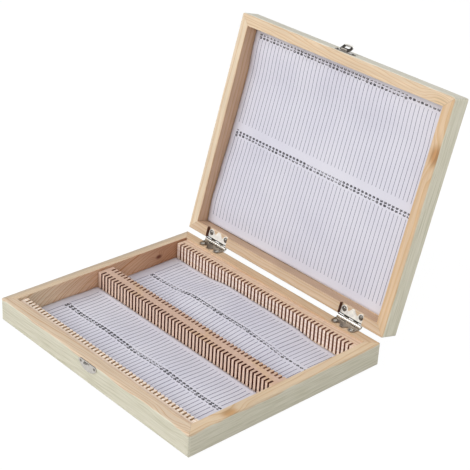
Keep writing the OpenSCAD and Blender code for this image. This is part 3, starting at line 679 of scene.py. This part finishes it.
lid_edge = smooth_line([-90, -60, -20, 10, 40, 66, 90], [0.0, 0.1, 0.6, 1.4, 3.0, 4.2, 2.6])
lid_side = smooth_line([-105, -70, -30, 10, 60, 105], [1.0, 0.9, 0.6, 0.35, 0.1, 0.0])
lid_head = smooth_line([-LID_SHEET_Y, -76, -46, LID_SHEET_Y], [2.6, 2.2, 0.0, 0.0])


def front_lift(x, y):
    return front_crest(x) * front_across(y) + front_edge(y)


def back_lift(x, y):
    t = (y - BACK_LOW) / (BACK_HIGH - BACK_LOW)
    rise, fall = eased(t / CREST_AT), eased((t - CREST_AT) / (1 - CREST_AT))
    return back_crest(x) * rise * (1 - fall) + back_foot(x) * fall


def lid_lift(x, y):
    return lid_edge(y) * lid_side(x) + lid_head(y)


def on_floor(lift):
    """Sheet coordinates (right, up, height over the paper's top) to places in the box."""
    def lay(flat):
        height = PANEL_T + PAPER_T + PAPER_LIES + lift(flat[:, 0], flat[:, 1])
        return np.column_stack([flat[:, 0], flat[:, 1], height + flat[:, 2]])
    return lay


def on_lid_panel(flat):
    """The same for the lid, whose sheet is read with the lid open: up is towards the latch."""
    x, y = flat[:, 0], -flat[:, 1]
    z = LID_TOP - PANEL_T - PAPER_T - PAPER_LIES - lid_lift(x, y) - flat[:, 2]
    return opened(np.column_stack([x, y, z]))


print("highest buckle", round(float(back_crest(np.array([-38.0]))[0]), 1), "mm")

# %% paper
PULP_SCALE, STAIN_SCALE = 0.9, 0.02
paper, tree, shader = new_material("index_paper")
place = shut_place(tree)
pulp = noise(tree, place, EVEN, PULP_SCALE, 0.0, 4.0)
stain = noise(tree, place, EVEN, STAIN_SCALE, 0.0)
tone = add(tree, MATH, {0: pulp, 1: 0.35, 2: stain}, "MULTIPLY_ADD")
sheet_colour = stops(add(tree, RAMP, {0: tone}), [
    (0.35, paint("#D4D3DF")), (0.6, paint("#DBDAE5")), (0.9, paint("#E1E0E9"))])
feed(tree, shader, {
    "Base Color": sheet_colour, "Specular IOR Level": 0.2,
    "Roughness": add(tree, RANGE, {"Value": pulp, "To Min": 0.7, "To Max": 0.9}),
    "Normal": add(tree, BUMP, {"Height": pulp, "Strength": 0.2, "Distance": 0.03 * MM})})


def finished(name, mesh, body):
    """Links a mesh as a piece that rides on a body."""
    piece = linked(name, mesh)
    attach(piece, body)
    return piece


def paper_sheet(name, low, high, lay):
    """A closed thin grid from corner low to corner high in sheet coordinates, laid on its floor."""
    columns, rows = (round((high[i] - low[i]) / SHEET_STEP) for i in (0, 1))
    x, y = np.meshgrid(np.linspace(low[0], high[0], columns + 1), np.linspace(low[1], high[1], rows + 1))
    top = np.column_stack([x.ravel(), y.ravel(), np.zeros(x.size)])
    under = top - np.array([0, 0, PAPER_T])
    corners = np.arange(x.size).reshape(x.shape)
    faces = [corners[:-1, :-1], corners[:-1, 1:], corners[1:, 1:], corners[1:, :-1]]
    faces = np.stack(faces, -1).reshape(-1, 4)
    rim = np.concatenate([corners[0, :], corners[1:, -1], corners[-1, -2::-1], corners[-2:0:-1, 0]])
    edge = np.column_stack([np.roll(rim, -1), rim, rim + x.size, np.roll(rim, -1) + x.size])
    faces = np.concatenate([faces, faces[:, ::-1] + x.size, edge])
    mesh = bpy.data.meshes.new(name)
    mesh.from_pydata(lay(np.concatenate([top, under])) * MM, [], faces.tolist())
    mesh.materials.append(paper)
    mesh.polygons.foreach_set("use_smooth", [True] * (len(faces) - len(edge)) + [False] * len(edge))
    print(name, len(faces), "faces")
    return mesh


front_lay, back_lay = on_floor(front_lift), on_floor(back_lift)
for name, node, low, high, lay, body in (
        ("front_index_paper", "front_index_sheet", FRONT_LOW, FRONT_HIGH, front_lay, "base"),
        ("back_index_paper", "back_index_sheet", BACK_LOW, BACK_HIGH, back_lay, "base"),
        ("lid_index_paper", "lid_index_sheet", -LID_SHEET_Y, LID_SHEET_Y, on_lid_panel, "lid")):
    sheet = finished(name, paper_sheet(name, (-SHEET_X, low), (SHEET_X, high), lay), body)
    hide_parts(node)

# %% [markdown]
# ## Printed lines and slot numbers
# Each slot has a ruled line and a number that lies on its side and reads downwards. That is one small
# drawing that repeats fifty times, so Geometry Nodes make it: a row of points, the ten figures as instances
# picked by the number at each point, and a thin strip for each line. A font would bring far too many points
# for print this small, so the figures are single strokes of a few points, and the tree gives them the width
# of a bold pen. The flat print is then bent to the paper with the curve that shaped the sheet, so ink and
# paper stay together.

# %% ink
def printing_ink(name, dark, pale, scale):
    """Ink on rough paper: a little uneven, and matt."""
    material, tree, shader = new_material(name)
    speck = noise(tree, shut_place(tree), EVEN, scale, 0.0)
    tone = stops(add(tree, RAMP, {0: speck}), [(0.3, paint(dark)), (0.7, paint(pale))])
    feed(tree, shader, {
        "Base Color": tone, "Specular IOR Level": 0.2,
        "Roughness": add(tree, RANGE, {"Value": speck, "To Min": 0.65, "To Max": 0.85})})
    return material


number_ink = printing_ink("ink_black", "#16131C", "#25212C", 2.0)
line_ink = printing_ink("ink_grey", "#62617A", "#76748C", 0.6)
print("inks:", number_ink.name, line_ink.name)


# %% the ten figures
def bow(x, y, wide, high, start, end, steps):
    """Points along an arc of an oval, in degrees."""
    turns = np.radians(np.linspace(start, end, steps))
    return [(x + wide * math.cos(a), y + high * math.sin(a)) for a in turns]


# Strokes in a box 1 wide and 1.5 high about the origin
FIGURE_TALL = 1.5
STROKES = [
    [bow(0, 0, 0.5, 0.75, 90, 450, 13)],
    [[(-0.3, 0.42), (0.08, 0.75), (0.08, -0.75)]],
    [bow(0, 0.3, 0.47, 0.45, 165, -35, 8) + [(-0.48, -0.75), (0.5, -0.75)]],
    [bow(0, 0.37, 0.44, 0.38, 150, -80, 7) + bow(0, -0.36, 0.5, 0.39, 80, -150, 8)],
    [[(0.22, -0.75), (0.22, 0.75), (-0.5, -0.32), (0.52, -0.32)]],
    [[(0.42, 0.75), (-0.34, 0.75), (-0.4, 0.08)] + bow(0, -0.26, 0.48, 0.49, 125, -150, 9)],
    [[(0.36, 0.62), (0.1, 0.75), (-0.3, 0.5)] + bow(0, -0.27, 0.48, 0.48, 170, 530, 12)],
    [[(-0.5, 0.75), (0.5, 0.75), (-0.12, -0.75)]],
    [bow(0, 0.38, 0.4, 0.37, -90, 270, 11), bow(0, -0.36, 0.5, 0.39, 90, 450, 11)],
    [[(-0.36, -0.62), (-0.1, -0.75), (0.3, -0.5)] + bow(0, 0.27, 0.48, 0.48, -10, 350, 12)],
]
figure_set = bpy.data.collections.new("figures")
bpy.context.scene.collection.children.link(figure_set)
for digit, strokes in enumerate(STROKES):
    pen = bpy.data.curves.new("figure_%d" % digit, "CURVE")
    for stroke in strokes:
        spline = pen.splines.new("POLY")
        spline.points.add(len(stroke) - 1)
        spline.points.foreach_set("co", [c for x, y in stroke for c in (x, y, 0, 1)])
    figure_set.objects.link(bpy.data.objects.new("figure_%d" % digit, pen))

# %% a tree for the numbers
FLOAT, WHOLE, SET = "NodeSocketFloat", "NodeSocketInt", "NodeSocketCollection"
INK_T = 0.03
ON_SIDE = (0, 0, -math.pi / 2)


def node_tree(name, inputs):
    """A geometry tree with named inputs; returns the tree, its input node's sockets and their identifiers."""
    tree = bpy.data.node_groups.new(name, "GeometryNodeTree")
    keys = {}
    for label, kind, value in inputs:
        socket = tree.interface.new_socket(label, in_out="INPUT", socket_type=kind)
        socket.default_value = value
        keys[label] = socket.identifier
    tree.interface.new_socket("Geometry", in_out="OUTPUT", socket_type="NodeSocketGeometry")
    return tree, add(tree, "NodeGroupInput").outputs, keys


def inked(tree, flat, depth, material):
    """Gives flat print a hair of thickness, a closed underside and its ink, and ends the tree."""
    solid = add(tree, "GeometryNodeExtrudeMesh", {"Mesh": flat, "Offset Scale": depth, "Individual": False})
    under = add(tree, "GeometryNodeFlipFaces", {"Mesh": flat})
    both = add(tree, "GeometryNodeJoinGeometry", {0: solid})
    tree.links.new(under.outputs[0], both.inputs[0])
    both = add(tree, "GeometryNodeMergeByDistance", {"Geometry": both, "Distance": 1e-5})
    both = add(tree, "GeometryNodeSetMaterial", {"Geometry": both, "Material": material})
    add(tree, "NodeGroupOutput", {0: both})


numbers, given, number_keys = node_tree("slot_numbers", [
    ("Figures", SET, None), ("Columns", WHOLE, SLOTS), ("First number", WHOLE, 100),
    ("Pitch", FLOAT, SLOT_PITCH), ("Figure width", FLOAT, 1.4), ("Figure height", FLOAT, 1.9),
    ("Figure step", FLOAT, 2.6), ("Stroke", FLOAT, 0.62), ("Ink depth", FLOAT, INK_T)])
row = add(numbers, "GeometryNodeMeshLine", {
    "Count": given["Columns"], "Offset": add(numbers, JOIN, {0: given["Pitch"]})})
number = add(numbers, MATH, {0: given["First number"], 1: add(numbers, "GeometryNodeInputIndex")},
             "SUBTRACT")
shapes = add(numbers, "GeometryNodeCollectionInfo", {0: given["Figures"], 1: True, 2: True})
tall = add(numbers, MATH, {0: given["Figure height"], 1: FIGURE_TALL}, "DIVIDE")
scale = add(numbers, JOIN, {0: given["Figure width"], 1: tall, 2: 1.0})
longer = [add(numbers, MATH, {0: number, 1: limit}, "GREATER_THAN") for limit in (9.5, 99.5)]
extra = add(numbers, MATH, {0: longer[0], 1: longer[1]}, "ADD")
stack = add(numbers, "GeometryNodeJoinGeometry")
for rank in range(3):
    share = add(numbers, MATH, {0: number, 1: 0.1 ** rank, 2: 0.001}, "MULTIPLY_ADD")
    share = add(numbers, MATH, {0: share}, "FLOOR")
    digit = add(numbers, MATH, {0: share, 1: 10.0}, "FLOORED_MODULO")
    shown = add(numbers, MATH, {0: extra, 1: rank - 0.5}, "GREATER_THAN")
    rise = add(numbers, MATH, {0: extra, 1: -0.5, 2: float(rank)}, "MULTIPLY_ADD")
    rise = add(numbers, MATH, {0: rise, 1: given["Figure step"]}, "MULTIPLY")
    lifted = add(numbers, "GeometryNodeSetPosition", {
        "Geometry": row, "Offset": add(numbers, JOIN, {1: rise})})
    placed = add(numbers, "GeometryNodeInstanceOnPoints", {
        "Points": lifted, "Selection": shown, "Instance": shapes, "Pick Instance": True,
        "Instance Index": digit, "Rotation": ON_SIDE, "Scale": scale})
    numbers.links.new(placed.outputs[0], stack.inputs[0])
pen_lines = add(numbers, "GeometryNodeRealizeInstances", {0: stack})
pen_lines = add(numbers, "GeometryNodeSetCurveNormal", {0: pen_lines}, mode="Z_UP")
half = add(numbers, MATH, {0: given["Stroke"], 1: 0.5}, "MULTIPLY")
other = add(numbers, MATH, {0: half, 1: -1.0}, "MULTIPLY")
nib = add(numbers, "GeometryNodeCurvePrimitiveLine", {
    "Start": add(numbers, JOIN, {0: other}), "End": add(numbers, JOIN, {0: half})})
inked(numbers, add(numbers, "GeometryNodeCurveToMesh", {"Curve": pen_lines, "Profile Curve": nib}),
      given["Ink depth"], number_ink)
print("number tree:", len(numbers.nodes), "nodes")

# %% a tree for the ruled lines
ruling, given, ruling_keys = node_tree("ruled_lines", [
    ("Columns", WHOLE, SLOTS), ("Pitch", FLOAT, SLOT_PITCH), ("Line width", FLOAT, 0.42),
    ("Length", FLOAT, 30.0), ("Points", WHOLE, 16), ("Ink depth", FLOAT, INK_T)])
row = add(ruling, "GeometryNodeMeshLine", {
    "Count": given["Columns"], "Offset": add(ruling, JOIN, {0: given["Pitch"]})})
strip = add(ruling, "GeometryNodeMeshGrid", {
    "Size X": given["Line width"], "Size Y": given["Length"], "Vertices X": 2, "Vertices Y": given["Points"]})
lines = add(ruling, "GeometryNodeInstanceOnPoints", {"Points": row, "Instance": strip})
inked(ruling, add(ruling, "GeometryNodeRealizeInstances", {0: lines}), given["Ink depth"], line_ink)
print("ruling tree:", len(ruling.nodes), "nodes")


# %% print the sheets
def drawn(tree, keys, sizes, shift):
    """Runs a tree with the given sizes and returns its mesh, moved by shift on the sheet."""
    holder = linked("drawing", bpy.data.meshes.new("drawing"))
    maker = holder.modifiers.new("nodes", "NODES")
    maker.node_group = tree
    for label, value in sizes.items():
        maker[keys[label]] = value
    mesh = bpy.data.meshes.new_from_object(holder.evaluated_get(bpy.context.evaluated_depsgraph_get()))
    holder.modifiers.remove(maker)
    bpy.data.objects.remove(holder)
    mesh.transform(Matrix.Translation(shift))
    return mesh


LINE_SHIFT = -0.32
PRINT_LIES = 0.02


def index_row(first, centre_y, spans, first_x, pitch, line, figure):
    """One row of numbers at centre_y with ruled lines in each (low, high) span, as (mesh, ink number) pairs.
    figure is the height, the step and the stroke of its figures."""
    sizes = {"Figures": figure_set, "First number": first, "Pitch": pitch, "Figure height": figure[0],
             "Figure step": figure[1], "Stroke": figure[2]}
    parts = [(drawn(numbers, number_keys, sizes, (first_x, centre_y, 0)), 0)]
    for low, high in spans:
        sizes = {"Pitch": pitch, "Length": high - low, "Line width": line}
        shift = (first_x + LINE_SHIFT * pitch, (low + high) / 2, 0)
        parts.append((drawn(ruling, ruling_keys, sizes, shift), 1))
    return parts


def printed(name, parts, lay, body):
    """Joins drawings into one piece, bent to its sheet."""
    whole = bmesh.new()
    for mesh, ink_number in parts:
        start = len(whole.faces)
        whole.from_mesh(mesh)
        whole.faces.ensure_lookup_table()
        for face in whole.faces[start:]:
            face.material_index = ink_number
    flat = np.array([v.co for v in whole.verts]) + np.array([0, 0, PRINT_LIES])
    for vert, place in zip(whole.verts, lay(flat) * MM):
        vert.co = place
    mesh = bpy.data.meshes.new(name)
    whole.to_mesh(mesh)
    whole.free()
    for ink in (number_ink, line_ink):
        mesh.materials.append(ink)
    print(name, len(mesh.polygons), "faces")
    finished(name, mesh, body)


MARGIN, NUMBER_GAP, PRINT_PITCH = 4.5, 3.6, 4.0
BASE_LINE, LID_LINE = 0.55, 0.42
BASE_FIGURE, LID_FIGURE = (2.2, 2.2, 0.76), (2.0, 2.4, 0.68)
LID_FIRST_X, LID_PITCH = -98.4, 4.04
# Rows of the lid: first number, where the numbers stand on the sheet, span of the lines
LID_ROWS = ((100, -3.4, (-79.2, -7.0)), (50, 81.5, (5.8, 78.8)))
for name, first, row_y, first_x, low, high, lay in (
        ("front_index_print", 100, -45.3, -96.0, FRONT_LOW, FRONT_HIGH, front_lay),
        ("back_index_print", 50, 40.8, -94.0, BACK_LOW, BACK_HIGH, back_lay)):
    spans = [(low + MARGIN, row_y - NUMBER_GAP), (row_y + NUMBER_GAP, high - MARGIN)]
    row = index_row(first, row_y, spans, first_x, PRINT_PITCH, BASE_LINE, BASE_FIGURE)
    printed(name, row, lay, "base")
lid_rows = []
for first, row_y, span in LID_ROWS:
    lid_rows += index_row(first, row_y, [span], LID_FIRST_X, LID_PITCH, LID_LINE, LID_FIGURE)
printed("lid_index_print", lid_rows, on_lid_panel, "lid")
for figure in list(figure_set.objects):
    bpy.data.objects.remove(figure)
bpy.data.collections.remove(figure_set)

# %% [markdown]
# ## Light
# The photograph has soft light from the front left and above, and a white ground. The sky gives most of the
# light, one wide lamp gives the direction, and a weak one at the back right opens the shadows. A third
# beside the camera lights the inner walls that face it, as a reflector does. The floor and the sky show
# white to the camera. In reflections only, the sky is dim between the horizon and the lamp overhead, as the
# walls of a studio are, so that round metal gets a dark side.

# %% light, floor and sky
FLOOR_HALF, FLOOR_Z = 3.0, -0.0002
mesh = bpy.data.meshes.new("floor")
corners = ((-1, -1), (1, -1), (1, 1), (-1, 1))
mesh.from_pydata([(x * FLOOR_HALF, y * FLOOR_HALF, FLOOR_Z) for x, y in corners], [], [(0, 1, 2, 3)])
floor = linked("floor", mesh)


def seen_rays(tree):
    """A mask of rays that show the background (from the camera, off gloss, through glass), and all rays."""
    rays = add(tree, "ShaderNodeLightPath").outputs
    seen = add(tree, MATH, {0: rays["Is Camera Ray"], 1: rays["Is Glossy Ray"]}, "MAXIMUM")
    return add(tree, MATH, {0: seen, 1: rays["Is Transmission Ray"]}, "MAXIMUM"), rays


FLOOR_GLOW, FLOOR_WHITE = 0.86, 1.11
material = bpy.data.materials.new("pale_floor")
tree = bare_tree(material)
seen, _ = seen_rays(tree)
share = add(tree, MATH, {0: seen, 1: FLOOR_GLOW}, "MULTIPLY")
matt = add(tree, "ShaderNodeBsdfDiffuse", {"Color": paint("#C9C9C9")})
glow = add(tree, "ShaderNodeEmission", {"Color": WHITE, "Strength": FLOOR_WHITE})
add(tree, "ShaderNodeOutputMaterial", {0: add(tree, "ShaderNodeMixShader", {0: share, 1: matt, 2: glow})})
mesh.materials.append(material)

SKY_LIGHT, DIM = 0.42, (0.35, 0.35, 0.35, 1)
world = bpy.data.worlds.new("studio")
bpy.context.scene.world = world
tree = bare_tree(world)
seen, rays = seen_rays(tree)
height = add(tree, SPLIT, {0: add(tree, COORDS).outputs["Generated"]}).outputs[2]
room = stops(add(tree, RAMP, {0: height}), [(0.06, WHITE), (0.25, DIM), (0.8, DIM), (0.95, WHITE)])
shown = add(tree, MATH, {0: room, 1: rays["Is Camera Ray"]}, "MAXIMUM")
level = add(tree, RANGE, {"Value": seen, "To Min": SKY_LIGHT, "To Max": shown})
sky = add(tree, "ShaderNodeBackground", {"Color": WHITE, "Strength": level})
add(tree, "ShaderNodeOutputWorld", {0: sky})

LAMPS_AIM = Vector((0, 0.05, 0.05))
LAMPS = (("softbox", (-0.86, -1.3, 1.31), 1.4, 23), ("fill", (0.45, 0.6, 0.35), 0.5, 0.9),
         ("front_fill", (0.75, -0.72, 0.68), 0.6, 3.4))
for name, place, size, watts in LAMPS:
    lamp = bpy.data.lights.new(name, "AREA")
    lamp.shape, lamp.size, lamp.energy = "DISK", size, watts
    light = linked(name, lamp)
    light.location = place
    light.visible_camera = False
    light.rotation_euler = (LAMPS_AIM - light.location).to_track_quat("-Z", "Y").to_euler()
    print(name, watts, "W")
bpy.context.scene.view_settings.view_transform = "Standard"
